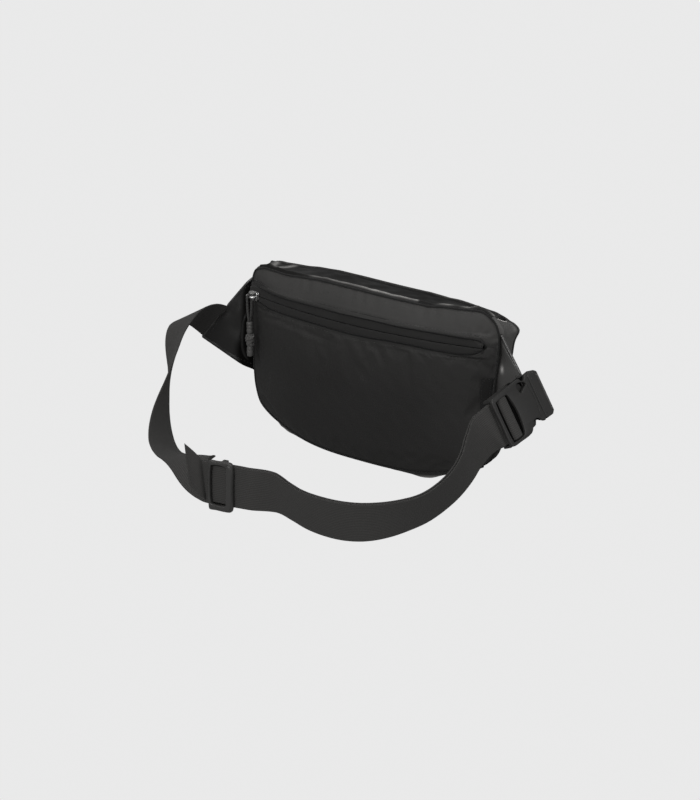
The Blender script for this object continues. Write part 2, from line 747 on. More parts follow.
# ---------------------------------------------------------------- cloth simulation
CLOTH = {
    "quality": 6, "mass": 0.25, "tension_stiffness": 18, "compression_stiffness": 8,
    "shear_stiffness": 4, "bending_stiffness": 0.35, "air_damping": 3,
    "vertex_group_mass": "pin", "use_pressure": True}
CLOTH_FRAMES = 16
PINNED_ROWS = 2


def drape(points, pressure, shrink, cap):
    """Cloth simulation of a grid pinned round its edge; no point moves more than cap mm."""
    rows, columns, _ = points.shape
    pinned = np.ones((rows, columns))
    pinned[PINNED_ROWS:-PINNED_ROWS, PINNED_ROWS:-PINNED_ROWS] = 0
    mesh = plain_mesh("cloth_tmp", points, grid_quads(rows, columns, wrap_columns=False))
    obj = bpy.data.objects.new("cloth_tmp", mesh)
    scene.collection.objects.link(obj)
    group = obj.vertex_groups.new(name="pin")
    group.add([int(i) for i in np.nonzero(pinned.reshape(-1))[0]], 1.0, "REPLACE")
    modifier = obj.modifiers.new("cloth", "CLOTH")
    for key, value in CLOTH.items():
        setattr(modifier.settings, key, value)
    modifier.settings.uniform_pressure_force = pressure
    modifier.settings.shrink_min = shrink
    modifier.settings.effector_weights.gravity = 0
    modifier.collision_settings.use_collision = False
    modifier.point_cache.frame_start = 1
    modifier.point_cache.frame_end = CLOTH_FRAMES + 1
    for frame in range(1, CLOTH_FRAMES + 1):
        scene.frame_set(frame)
    evaluated = obj.evaluated_get(bpy.context.evaluated_depsgraph_get())
    shift = mesh_points(evaluated.data).reshape(rows, columns, 3) - points
    bpy.data.objects.remove(obj)
    scene.frame_set(1)
    shift[~np.isfinite(shift)] = 0
    length = np.linalg.norm(shift, axis=-1, keepdims=True)
    shift = shift * np.minimum(1.0, cap / np.maximum(length, 1e-9)) * (1 - pinned[..., None])
    return points + shift


def upsample(grid, rows, columns):
    """Bilinear resampling of a grid."""
    down = np.linspace(0, grid.shape[0] - 1, rows)
    over = np.linspace(0, grid.shape[1] - 1, columns)
    i = np.minimum(down.astype(int), grid.shape[0] - 2)
    j = np.minimum(over.astype(int), grid.shape[1] - 2)
    down, over = (down - i)[:, None, None], (over - j)[None, :, None]
    return ((grid[i][:, j] * (1 - down) + grid[i + 1][:, j] * down) * (1 - over)
            + (grid[i][:, j + 1] * (1 - down) + grid[i + 1][:, j + 1] * down) * over)


# ---------------------------------------------------------------- relief of the panels
HEM = 3.2           # stitch row, from the lip
RIM_SCALE = 133     # turns 1 - rho into roughly mm from the seam


def lip_distance(x, z, top, low):
    return np.where(z > ZIP_Z, z - top(x), low(x) - z)


def pressed_rim(x, z):
    """A pressed line beside the seam all round."""
    return 0.5 * bell((1 - rho(x, z)) * RIM_SCALE - 2.2, 1.0)


def back_cloth(x, z):
    """y of the back panel with its relief; the outside is -y."""
    from_lip = lip_distance(x, z, back_lip_top, back_lip_low)
    near = ramp(x, -131, 6) * fall(x, 124, 4)
    y = -0.10 * fall(from_lip, 2.6, 1.6) * near             # the folded hem stands proud
    y += 0.22 * bell(from_lip - 3.1, 0.6) * near            # pressed in by the stitch row
    y -= 0.10 * bell(from_lip - 5.0, 1.3) * near
    # puckers where the zip ends on the right
    end_x, end_z = x - 121, z - ZIP_Z
    radius, angle = np.hypot(end_x, end_z), np.arctan2(end_z, end_x)
    rays = np.sin(angle * 11 + 0.6 * np.sin(radius * 0.5))
    y += 0.30 * rays * bell(radius - 13, 4.0) * ramp(radius, 7, 4)
    y += 0.5 * bell(np.hypot(end_x - 4, end_z), 6)
    # drag lines running down from the zip, and soft hollows
    inside = ramp(1 - rho(x, z), 0, 0.08)
    y += inside * 0.55 * ripple(x, z * 0.6, 5, 62, 8)
    y += inside * 0.22 * ripple(x * 1.3, z, 11, 24, 8) * ramp(-z, 20, 20)
    # a crease and the roll under it, below the left part of the zip
    crease = -47 + 1.6 * np.sin(x * 0.06) - 0.02 * (x + 60)
    reach = ramp(x, -122, 14) * fall(x, -40, 40)
    y += 0.5 * bell(z - crease, 2.4) * reach
    y -= 0.35 * bell(z - crease + 5, 3.2) * reach
    # the upper strip pulls in small puckers along the top seam
    pucker = np.sin(x * 0.42 + 1.3 * np.sin(x * 0.09)) * ramp(z, -15, 12)
    pucker = pucker * fall(rho(x, z), 0.985, 0.015)
    y += 0.35 * pucker * (0.4 + 0.6 * (ripple(x, z * 0, 3, 50) > 0))
    return back_y(x, z) + (y + pressed_rim(x, z))


def front_cloth(x, z):
    """y of the front panel with its relief; the outside is +y."""
    from_lip = lip_distance(x, z, front_lip_top, front_lip_low)
    near = fall(np.abs(x), 103, 5)
    y = 0.5 * fall(from_lip, 2.6, 2.0) * near - 0.4 * bell(from_lip - HEM, 0.7) * near
    # puckers round both zip ends
    for end in (-104, 104):
        radius, angle = np.hypot(x - end, z - ZIP_Z), np.arctan2(z - ZIP_Z, x - end)
        y += 0.25 * np.sin(angle * 10) * bell(radius - 11, 4) * ramp(radius, 6, 4)
    inside = ramp(1 - rho(x, z), 0, 0.12)
    y += inside * (0.9 * ripple(x, z * 0.7, 21, 70, 8) + 0.4 * ripple(x, z, 27, 28, 8))
    return front_y(x, z) + (y - pressed_rim(x, z))


def front_upper_cloth(x, z):
    return np.minimum(front_cloth(x, z), FRONT_Y + 1.0)


def front_lower_cloth(x, z):
    return front_cloth(x, z) - 0.6


def on_cloth(x, z, cloth, lift=0.0):
    return np.stack([x, cloth(x, z) + lift, z], -1)


# ---------------------------------------------------------------- pouch panels
def panel(part, first_arc, last_arc, size, lip, cloth, mat, slot, toward, slack=None):
    """Panel from the zip lip to the outline between two arc positions; slack drapes it.

    Returns the object and the x and z of its grid."""
    arcs = np.linspace(first_arc, last_arc, size[0])
    edge, normal = outline(arcs)
    edge = edge - normal * 0.4
    share = (arcs - first_arc) / (last_arc - first_arc)
    lip_x = edge[0, 0] + (edge[-1, 0] - edge[0, 0]) * share
    start = np.stack([lip_x, lip(lip_x)], -1)
    share = np.linspace(0, 1, size[1])[None, :, None]
    grid = start[:, None] * (1 - share) + edge[:, None] * share
    x, z = grid[..., 0], grid[..., 1]
    points = on_cloth(x, z, cloth)
    if slack:
        coarse = points[::3, ::2]
        # the pressure pushes to the grid's own side, so the forward panel goes in reversed
        order = 1 if toward == BACKWARD else -1
        shift = drape(coarse[::order], **slack)[::order] - coarse
        points = points + upsample(shift, *size)
    shell = sheet(part + "_shell", points, PANEL_T, mat, toward, edge_steps=5)
    return enrol(shell, slot, part), x, z


right_end = arc_at(1, ZIP_Z)
back_upper, x, z = panel("back_panel_upper", arc_at(-1, -25.5), right_end, (360, 40),
                         back_lip_top, back_cloth, BACK_UPPER, "ripstop", BACKWARD)
above_lip = z - back_lip_top(x)
paint(back_upper, "rim_tone", -0.85 * fall(above_lip, 1.6, 3.0)
      - 0.25 * fall(above_lip, 4, 8) * ramp(x, -60, -60) + 0.05 * ripple(x, z, 93, 60))

back_lower, _, _ = panel("back_panel_lower", arc_at(-1, -28.8), right_end - GIRTH, (420, 110),
                         back_lip_low, back_cloth, BACK_LOWER, "ripstop", BACKWARD,
                         slack={"pressure": 0.6, "shrink": -0.012, "cap": 1.1})
# the cloth looks paler towards its rim, where it turns up to the light
x, _, z = mesh_points(back_lower.data).T
rim_tone = (0.95 * ramp(z, -92, 60) * (0.55 + 0.45 * np.cos(np.clip(x + 30, -90, 150) / 60))
            + 0.55 * ramp(np.abs(x - 5), 55, 70) + 0.25 * ramp(-z, 118, 40))
write_attribute(back_lower, "rim_tone", rim_tone + 0.06 * ripple(x, z, 91, 70))

left_end = arc_at(-1, ZIP_Z)
panel("front_panel_upper", left_end, right_end, (320, 34),
      front_lip_top, front_upper_cloth, FRONT, "coated", FORWARD)
panel("front_panel_lower", left_end, right_end - GIRTH, (400, 100),
      front_lip_low, front_lower_cloth, FRONT, "coated", FORWARD,
      slack={"pressure": 0.9, "shrink": -0.02, "cap": 3.0})

# ---------------------------------------------------------------- gusset
top_right, bottom_right = arc_near(125, -5), arc_near(118, -143)
bottom_left, top_left = arc_near(-118, -143), arc_near(-125, -5)


def gusset(part, first_arc, last_arc, mat, crown, crush, seed, rows, columns=44):
    """One side of the gusset; crown bows it out, crush scales its creases."""
    arcs = np.linspace(first_arc, last_arc, rows)
    edge, normal = outline(arcs)
    x, z = edge[:, 0, None], edge[:, 1, None]
    arcs = arcs[:, None]
    share = np.linspace(0, 1, columns)[None]
    seam = seam_y(x)
    start = seam + 0.9
    full = seam + depth_at(x, z) - 0.9 - start
    depth = full * share
    height = crown * 4 * share * (1 - share) - 0.1
    # welts along both seams, as the turned allowance lies under the coated cloth
    height = height + (1.9 + 0.5 * ripple(arcs, 0 * depth, seed + 3, 60, 5)) * bell(depth - 3.4, 2.0)
    height = height + 0.8 * bell(full - depth - 2.6, 1.9)
    free = np.minimum(1, np.minimum(depth, full - depth) / 4.0)     # 0 at both seams
    height = height + crush * free * (0.9 * ripple(arcs * 0.5, depth * 1.3, seed, 34, 8)
                                      + 0.5 * ripple(arcs, depth, seed + 1, 15, 8))
    # sharp diagonal crease facets towards the ends: arc, slant, half width, height
    for centre, slant, half, rise in (
            (first_arc + 8, 0.8, 5, 1.3), (first_arc + 19, -0.9, 4, 0.9),
            (last_arc - 9, -0.8, 5, 1.2), (last_arc - 22, 0.9, 4, 0.8)):
        offset = (arcs - centre) + slant * (depth - full / 2)
        height = height + rise * crush * free * (1 - np.minimum(1, np.abs(offset) / half))
    if part == "gusset_bottom":     # the slack base bellies out below the seam in two places
        bellies = bell(x + 92, 15) + bell(x - 66, 17)
        height = height + 4.6 * free * bellies * np.sin(math.pi * share)**0.6
    points = np.stack([x + normal[:, 0, None] * height, start + depth,
                       z + normal[:, 1, None] * height], -1)
    outward = np.stack([normal[:, 0], 0 * normal[:, 0], normal[:, 1]], -1)[:, None]
    shell = sheet(part + "_shell", points, GUSSET_T, mat, outward)

    wear = -0.004 * ramp(depth, 6, 10)
    if part == "gusset_top":        # rubbed pale in stretches along the back welt
        lit = (ramp(x, -66, 10) * fall(x, 54, 3) * (0.55 + 0.45 * ramp(x, -20, 40))
               + bell(x - 82, 6) * 0.9 + bell(x - 103, 6) + 0.8 * bell(x - 127, 5))
        broken = 0.72 + 0.28 * ripple(arcs, 0 * depth, seed + 9, 14, 6)
        wear = wear + 0.75 * lit * broken * bell(depth - 3.3, 0.95)
        wear = wear + 0.10 * lit * bell(depth - 4.6, 2.4)
        for centre, width, tilt in ((-112, 3.0, 0.55), (-103, 2.2, -0.5)):
            streak = bell((x - centre) + tilt * (depth - 9), width)
            wear = wear + 0.5 * streak * ramp(depth, 2, 4) * fall(depth, 17, 10)
    elif part == "gusset_bottom":
        wear = wear + 0.7 * (bell(x + 92, 10) + bell(x - 66, 12)) * bell(depth - 4.5, 1.6)
    else:
        wear = wear - 1.7 * fall(depth, 7, 7) * ramp(-34 - z, 0, 10)
    paint(shell, "wear", wear)
    enrol(shell, "coated", part)


gusset("gusset_top", top_left, top_right, GUSSET, crown=1.3, crush=1.0, seed=41, rows=300)
gusset("gusset_right", top_right, bottom_right, SIDE, crown=0.3, crush=0.45, seed=43,
       rows=170, columns=34)
gusset("gusset_bottom", bottom_right, bottom_left + GIRTH, GUSSET, crown=1.3, crush=1.0,
       seed=45, rows=320)
gusset("gusset_left", bottom_left, top_left, SIDE, crown=0.3, crush=0.45, seed=47,
       rows=170, columns=34)

# two rows of stitches across the gusset at each upper corner
for side, corner in (("right", top_right), ("left", top_left)):
    (corner_x, corner_z), _ = outline(corner)
    across = np.linspace(2.5, depth_at(corner_x, corner_z) - 2.0, 40)
    for k, shift in enumerate((-1.6, 1.6)):
        (x, z), (out_x, out_z) = outline(corner + shift)
        row = np.stack([x + out_x * 0.75 + 0 * across, seam_y(x) + across,
                        z + out_z * 0.75 + 0 * across], -1)
        threads("gusset_join_stitching_%s_%d" % (side, k),
                [stitches(settle(row), (out_x, 0, out_z), 2.6, 1.8, 0.26)],
                mat=PALE_THREAD if side == "right" and k == 1 else THREAD)


# ---------------------------------------------------------------- piping of both seams
def ridged(run, angle):
    return 1 + 0.05 * np.cos(angle * 3 + 0.4) + 0.035 * np.sin(run * 2 * math.pi / 2.4)


seam, normal = outline(np.linspace(0, GIRTH, 720, endpoint=False))
for side, depth, mat in (("back", 0, BINDING),
                         ("front", depth_at(seam[:, 0], seam[:, 1]), FRONT_BINDING)):
    line = np.stack([seam[:, 0] + normal[:, 0] * 0.1, seam_y(seam[:, 0]) + depth,
                     seam[:, 1] + normal[:, 1] * 0.1], -1)
    tube(side + "_seam_piping", settle(line), 1.0, mat, "binding", side + "_seam_binding",
         closed=True, up=FORWARD, profile=ridged)

# ---------------------------------------------------------------- zips
# section of a tape, from the coil to under the cloth: share of the gap between coil and lip,
# mm added to it, mm inwards of the zip surface, weight of the waviness
TAPE_SECTION = np.array([
    (0.0, 0.62, -0.95, 0), (0.35, 0.0, -1.0, 1), (0.75, 0.0, -0.95, 1), (1.0, -1.5, -0.90, .6),
    (1.0, -0.95, -0.75, 0), (1.0, -0.65, -0.1, 0), (1.0, -0.45, 0.8, 0), (1.0, 0.6, 1.15, 0),
    (1.0, 3.2, 1.2, 0)])
COIL_PITCH = 1.35


def zip_parts(prefix, zip_y, left, right, top, low, out):
    """Reversed coil zip: two tapes turned down into a groove along the lips, and the coil.

    out is the sign of y on the outside."""
    x = np.linspace(left, right, int((right - left) / 1.2))[:, None]
    share, added, inward, waviness = TAPE_SECTION.T
    least = 0.62 + 0.02 * np.arange(len(share))
    for side_name, side, lip in (("upper", 1, top), ("lower", -1, low)):
        gap = np.maximum((lip(x) - ZIP_Z) * side, 0.9)
        z = ZIP_Z + side * np.maximum(gap * share + added, least)
        wobble = 0.10 * np.sin(x * 0.31 + side) * waviness
        points = np.stack([x + 0 * z, zip_y(x) + out * (wobble - inward), z], -1)
        tape = sheet("%s_tape_%s_weave" % (prefix, side_name), points, 0.5, TAPE, (0, out, 0),
                     centred=True)
        enrol(tape, "zipper", "%s_zip_tape_%s" % (prefix, side_name))
    # looped teeth on each side, meshed in the middle, over two sewn core cords
    parts = []
    tooth_x = left + 0.8
    while tooth_x < right - 0.8:
        for side in (1, -1):
            x = tooth_x + (COIL_PITCH / 2 if side > 0 else 0)
            y = zip_y(x)
            loop = [(x, y + out * 0.25, ZIP_Z + side * 2.3),
                    (x, y - out * 0.65, ZIP_Z + side * 2.0),
                    (x, y - out * 0.75, ZIP_Z + side * 1.0),
                    (x + 0.1, y - out * 0.6, ZIP_Z - side * 0.25),
                    (x + 0.25, y + out * 0.15, ZIP_Z - side * 0.75)]
            parts.append(tube_mesh(loop, 0.36, 5, up=(1, 0, 0)))
        tooth_x += COIL_PITCH
    x = np.linspace(left, right, 120)
    for side in (1, -1):
        core = np.stack([x, zip_y(x) - out * 0.1, np.full_like(x, ZIP_Z + side * 1.2)], -1)
        parts.append(tube_mesh(core, 0.6, 6))
    verts, faces = merged(parts)
    enrol(add_mesh(prefix + "_zip_teeth", settle(verts), faces, COIL), "zipper_coil",
          prefix + "_zip_coil")


zip_parts("back", back_zip_y, -128.5, 123.4, back_lip_top, back_lip_low, out=-1)
zip_parts("front", front_zip_y, -104.0, 104.0, front_lip_top, front_lip_low, out=1)


def lip_edge(name, x, top, low, cloth, lift, radius):
    """The cloth's folded edge, bound dark along both lips and round the right end."""
    z = np.concatenate([top(x) - 0.2, low(x[::-1]) + 0.2])
    line = on_cloth(np.concatenate([x, x[::-1]]), z, cloth, lift)
    tube(name, settle(resample(line, 0.9)), radius, LIP_EDGE, "binding", sides=8, up=BACKWARD)


lip_edge("back_zip_lip_edge",
         np.concatenate([np.linspace(-129.5, 116.0, 420), np.linspace(116.3, 124.3, 40)]),
         back_lip_top, back_lip_low, back_cloth, lift=-0.02, radius=0.72)
lip_edge("front_zip_lip_edge",
         np.concatenate([np.linspace(-106.8, -103.6, 16), np.linspace(-103, 103, 300),
                         np.linspace(103.6, 106.8, 16)]),
         front_lip_top, front_lip_low, front_upper_cloth, lift=-0.35, radius=0.7)


def lip_stitching(name, x, top, low, upper_cloth, lower_cloth, out):
    rows = []
    for z, cloth in ((top(x) + HEM, upper_cloth), (low(x) - HEM, lower_cloth)):
        rows.append(stitches(settle(on_cloth(x, z, cloth, out * 0.02)), (0, out, 0)))
    threads(name, rows)


lip_stitching("back_zip_stitching", np.linspace(-129, 120.5, 900), back_lip_top, back_lip_low,
              back_cloth, back_cloth, out=-1)
lip_stitching("front_zip_stitching", np.linspace(-101, 101, 700), front_lip_top, front_lip_low,
              front_cloth, front_lower_cloth, out=1)
# stitches round the right end of the back zip
turn = np.linspace(math.radians(88), math.radians(-88), 60)
row = on_cloth(117.0 + 10.4 * np.cos(turn), -29.2 + 10.8 * np.sin(turn), back_cloth, -0.02)
threads("back_zip_end_stitching", [stitches(settle(row), BACKWARD, 2.4, 1.7, 0.26)])


# ---------------------------------------------------------------- sliders and pull cords
# These are drawn in the slider's own frame: x along the zip, -y outwards, z from the zip line.
SLIDER_OUTLINE = [
    (6.0, 2.6), (5.0, 3.9), (2.5, 4.6), (-1.5, 4.5), (-4.6, 3.4), (-6.0, 2.2), (-6.0, -2.2),
    (-4.6, -3.4), (-1.5, -4.5), (2.5, -4.6), (5.0, -3.9), (6.0, -2.6)]     # x, z
BRIDGE_LINE = [
    (-4.6, -3.6, 0), (-4.6, -5.5, 0), (-4.3, -7.0, 0), (-3.2, -8.1, 0), (-1.5, -8.5, 0),
    (1.5, -8.5, 0), (3.2, -8.1, 0), (4.3, -7.0, 0), (4.6, -5.5, 0), (4.6, -3.6, 0)]
PULL_Y = -8.2           # axis of the pull
# profiles of the turned pieces: radius, z
UPPER_SLEEVE = [
    (0.3, -24.2), (2.3, -24.3), (2.75, -25.0), (2.75, -27.2), (2.5, -27.6), (2.75, -28.0),
    (2.75, -30.4), (2.5, -30.8), (2.75, -31.2), (2.75, -34.2), (2.3, -35.4), (1.2, -35.8)]
LOWER_SLEEVE = [
    (1.2, -47.6), (2.4, -48.2), (2.8, -49.2), (2.85, -51.4), (2.6, -51.8), (2.85, -52.2),
    (2.85, -56.4), (2.4, -57.6), (0.3, -57.8)]
KNOT_CORE = [
    (0.5, -35.0), (2.2, -35.6), (3.3, -37.2), (3.8, -40), (3.7, -43), (3.2, -46), (2.3, -48.2),
    (0.5, -48.8)]
BACK_SLIDER_X, FRONT_SLIDER_X = -121.5, -96.0


def add_bevel(obj, width, angle):
    bevel = obj.modifiers.new("bevel", "BEVEL")
    bevel.width = width
    bevel.segments = 3
    bevel.limit_method = "ANGLE"
    bevel.angle_limit = math.radians(angle)
    bevel.harden_normals = False
    bevel.use_clamp_overlap = True


def prism(polygon, near, far):
    """Polygon in x, z extruded along y."""
    count = len(polygon)
    verts = [(x, y, z) for y in (near, far) for x, z in polygon]
    faces = [list(range(count))[::-1], list(range(count, 2 * count))]
    faces += [[i, (i + 1) % count, count + (i + 1) % count, count + i] for i in range(count)]
    return np.array(verts, float), faces


def rect(left, low, right, high):
    return [(left, low), (right, low), (right, high), (left, high)]


def lathe(profile, sides=28, squash=1.0, lumpy=False):
    """Turned piece on the pull's axis."""
    profile = curve_through(profile, False, 4)
    angle = (2 * math.pi * np.arange(sides) / sides)[None]
    z = profile[:, 1, None]
    radius = np.maximum(profile[:, 0], 0.02)[:, None] * np.ones(sides)
    if lumpy:
        radius = radius * (1 + 0.10 * np.sin(3 * angle + z * 0.9) + 0.07 * np.sin(2 * angle - z * 1.5))
    verts = np.stack([radius * np.cos(angle), PULL_Y + squash * radius * np.sin(angle),
                      np.repeat(z, sides, 1)], -1)
    count = len(profile)
    faces = grid_quads(count, sides)
    faces += [list(range(sides)), list(range((count - 1) * sides, count * sides))[::-1]]
    return verts.reshape(-1, 3), faces


def braid(run, angle):
    twist = run * 2 * math.pi / 2.6
    return 1 + 0.10 * np.sin(4 * angle + twist) * np.sin(4 * angle - twist)


def pull_cord_line():
    """Down-hanging loop: up the inner strand, over the bridge and down the outer one."""
    points = [(0, -7.4, -24.4), (0, -6.9, -20), (0.3, -6.4, -14), (0.1, -5.9, -7)]
    for k in range(9):
        turn = math.pi * k / 8
        points.append((0, PULL_Y + 2.45 * math.cos(turn), 2.45 * math.sin(turn) - 0.4))
    points += [(-0.1, -10.5, -7), (-0.3, -10.0, -14), (0, -9.5, -20), (0, -9.0, -24.4)]
    return resample(curve_through(points, False, 8), 0.35)


def knot_turn(phase, z):
    """One turn of cord round the knot."""
    turn = np.linspace(0, 2 * math.pi, 40, endpoint=False)
    radius = 3.35 + 0.25 * np.cos(2 * turn)
    ring = np.stack([radius * np.cos(turn), PULL_Y + 0.94 * radius * np.sin(turn),
                     z + 2.0 * np.sin(turn + phase)], -1)
    return tube_mesh(ring, 0.95, 10, True, (0, 0, 1), braid)


def slider_set(prefix, x, y, turn):
    cosine, sine = math.cos(turn), math.sin(turn)

    def piece(name, part, mat, slot, *replaced, body, smooth=True):
        verts, faces = part
        verts = np.asarray(verts, float)
        placed = np.stack([x + verts[:, 0] * cosine - verts[:, 1] * sine,
                           y + verts[:, 0] * sine + verts[:, 1] * cosine,
                           ZIP_Z + verts[:, 2]], -1)
        obj = add_mesh(prefix + name, placed, faces, mat, smooth=smooth)
        return enrol(obj, slot, *replaced, body=prefix + body)

    plates = [prism(SLIDER_OUTLINE, -3.95, -2.3),
              prism([(a * 0.96, b * 0.92) for a, b in SLIDER_OUTLINE], -2.1, -1.4)]
    for side in (-1, 1):
        mid, half = side * 4.6, 0.5
        post = [(mid + half, 0.9), (mid + half, -0.9), (mid - half, -0.9), (mid - half, 0.9)]
        plates.append(prism(post, -4.6, -1.8))
    plate = piece("_slider_body", merged(plates), METAL, "metal", prefix + "_zip_slider",
                  body="_slider", smooth=False)
    add_bevel(plate, 0.00035, 35)
    bridge = tube_mesh(curve_through(BRIDGE_LINE, False, 5), 0.95, 12,
                       profile=lambda run, angle: 1 + 0.25 * np.cos(angle)**2)
    piece("_slider_bridge", bridge, METAL, "metal", body="_slider")
    cord = tube_mesh(pull_cord_line(), 1.0, 16, up=(1, 0, 0), profile=braid)
    piece("_pull_cord_braid", cord, CORD, "cord", prefix + "_pull_cord", body="_pull")
    # moulded sleeves with grip rings either side of a tied knot
    piece("_cord_end_sleeves", merged([lathe(UPPER_SLEEVE), lathe(LOWER_SLEEVE)]), CORD_END,
          "cord_end", prefix + "_cord_end", body="_pull")
    knot = [lathe(KNOT_CORE, 32, squash=0.92, lumpy=True)]
    knot += [knot_turn(phase, z) for phase, z in ((0.0, -39.0), (2.1, -41.6), (4.2, -44.2))]
    piece("_cord_end_knot", merged(knot), KNOT, "cord", body="_pull")


slider_set("back", BACK_SLIDER_X, back_zip_y(BACK_SLIDER_X), math.asin(BACK_SLIDER_X / BACK_R))
slider_set("front", FRONT_SLIDER_X, front_zip_y(FRONT_SLIDER_X),
           math.pi - math.asin(FRONT_SLIDER_X / FRONT_R))

# ---------------------------------------------------------------- belt
# stations of the centre line: x, y, z, then the direction across the belt
BELT_LEFT = np.array([
    [-170.4, 8.3, -66.3, 0.542, 0.289, 0.789], [-175.1, -3.3, -57.3, 0.744, 0.126, 0.656],
    [-176.5, -18.3, -52.0, 0.862, 0.070, 0.503], [-174.6, -34.6, -51.8, 0.894, 0.067, 0.444],
    [-170.0, -49.1, -57.1, 0.827, -0.015, 0.562], [-164.0, -61.8, -65.0, 0.691, -0.187, 0.698],
    [-157.3, -73.2, -74.3, 0.575, -0.331, 0.748], [-151.3, -84.8, -83.9, 0.480, -0.432, 0.764],
    [-145.8, -96.3, -93.8, 0.394, -0.510, 0.764], [-140.8, -107.6, -103.8, 0.242, -0.605, 0.758],
    [-135.1, -118.2, -113.8, 0.052, -0.700, 0.712],
    [-127.6, -127.9, -123.6, -0.108, -0.769, 0.630],
    [-117.4, -136.0, -131.1, -0.216, -0.834, 0.507],
    [-104.2, -141.1, -133.5, -0.309, -0.929, 0.204],
    [-89.9, -144.5, -132.3, -0.341, -0.930, 0.140],
    [-72.8, -151.8, -131.4, -0.397, -0.901, -0.172]])
BELT_RIGHT = np.array([
    [28.6, -167.2, -125.7, -0.017, 0.153, -0.988], [46.3, -170.6, -127.6, -0.019, 0.238, -0.971],
    [63.9, -174.3, -129.6, -0.020, 0.240, -0.971], [81.9, -174.9, -130.6, -0.012, 0.200, -0.980],
    [99.7, -173.0, -130.7, 0.004, 0.206, -0.979], [116.7, -168.0, -129.5, 0.010, 0.255, -0.967],
    [132.0, -159.7, -126.8, -0.032, 0.359, -0.933], [145.5, -149.0, -122.8, -0.115, 0.464, -0.878],
    [157.0, -137.0, -117.7, -0.181, 0.521, -0.835], [164.8, -123.2, -110.5, -0.195, 0.527, -0.827],
    [169.3, -108.6, -102.2, -0.164, 0.513, -0.843], [169.9, -93.9, -93.4, -0.086, 0.495, -0.864],
    [167.3, -79.1, -85.0, 0.081, 0.486, -0.870], [166.8, -64.2, -77.1, 0.188, 0.447, -0.875]])
LAYER = 2.0                     # between the belt's two layers
WEB_WIDTH, WEB_T = 38.0, 1.5
TAIL_END = np.array([-51.4, -187.6, -112.9])
# tri-glide frame: along the belt to +x, across it downwards, and into the belt (about +y)
GLIDE_START = np.array([-38, -174.5, -130.0])
GLIDE_ALONG = unit(np.array([6, -172.5, -126.5]) - GLIDE_START)
GLIDE_ACROSS = square_to([-0.04, 0.03, -1.0], GLIDE_ALONG)
GLIDE_IN = np.cross(GLIDE_ALONG, GLIDE_ACROSS)
# buckle frame: along it to +y, across it downwards, and inwards (about -x)
BUCKLE_CENTRE = np.array([177, -20, -63.0])
BUCKLE_ALONG = unit(np.array([0.084, 0.98, 0.185]))
BUCKLE_ACROSS = square_to([0.425, 0.131, -0.895], BUCKLE_ALONG)
BUCKLE_IN = np.cross(BUCKLE_ALONG, BUCKLE_ACROSS)


def at_buckle(along, across, inward):
    """Numbers or arrays of numbers in the buckle frame to the bag frame."""
    return (BUCKLE_CENTRE + np.multiply.outer(along, BUCKLE_ALONG)
            + np.multiply.outer(across, BUCKLE_ACROSS) + np.multiply.outer(inward, BUCKLE_IN))


def at_glide(along, across, inward):
    """The tri-glide sits askew on the belt."""
    return (GLIDE_START + GLIDE_ALONG * (16 + along - 0.12 * across) + GLIDE_ACROSS * across
            + GLIDE_IN * inward)


def tangents(line):
    tangent = np.empty_like(line)
    tangent[1:-1] = line[2:] - line[:-2]
    tangent[0], tangent[-1] = line[1] - line[0], line[-1] - line[-2]
    return unit(tangent)


def refine(line, across, per_span):
    """Curve through the line, with the across directions blended along it."""
    curve = curve_through(line, False, per_span)
    place = np.arange(len(curve)) / per_span
    k = np.minimum(len(line) - 2, place.astype(int))
    share = (place - k)[:, None]
    return curve, unit(across[k] * (1 - share) + across[k + 1] * share)


def ribbon(name, line, across, squared=1.0, ribs=22, per_rib=3, edge_steps=2):
    """Ribbed webbing along a line; squared (0..1) turns its cross direction square to it."""
    tangent = tangents(line)
    squared = np.reshape(squared, (-1, 1))
    across = unit(across - squared * tangent * np.sum(across * tangent, -1, keepdims=True))
    normal = unit(np.cross(tangent, across))
    count = ribs * per_rib + 1
    share = np.linspace(-0.5, 0.5, count)
    relief = 0.10 * (np.abs(np.sin(np.linspace(0, ribs, count) * math.pi)) - 1)
    base = line[:, None] + across[:, None] * (share * WEB_WIDTH)[None, :, None]
    lift = normal[:, None] * (WEB_T / 2 + relief)[None, :, None]
    verts, faces = slab(base + lift, base - lift, edge_steps, bulge=0.8)
    ring_share = np.concatenate([share, np.full(edge_steps, 0.5), share[::-1],
                                 np.full(edge_steps, -0.5)])
    uv = np.stack([np.repeat(run_lengths(line) * MM, len(ring_share)),
                   np.tile(ring_share * WEB_WIDTH * MM, len(line))], -1)
    return add_mesh(name, verts, faces, WEBBING, uv)


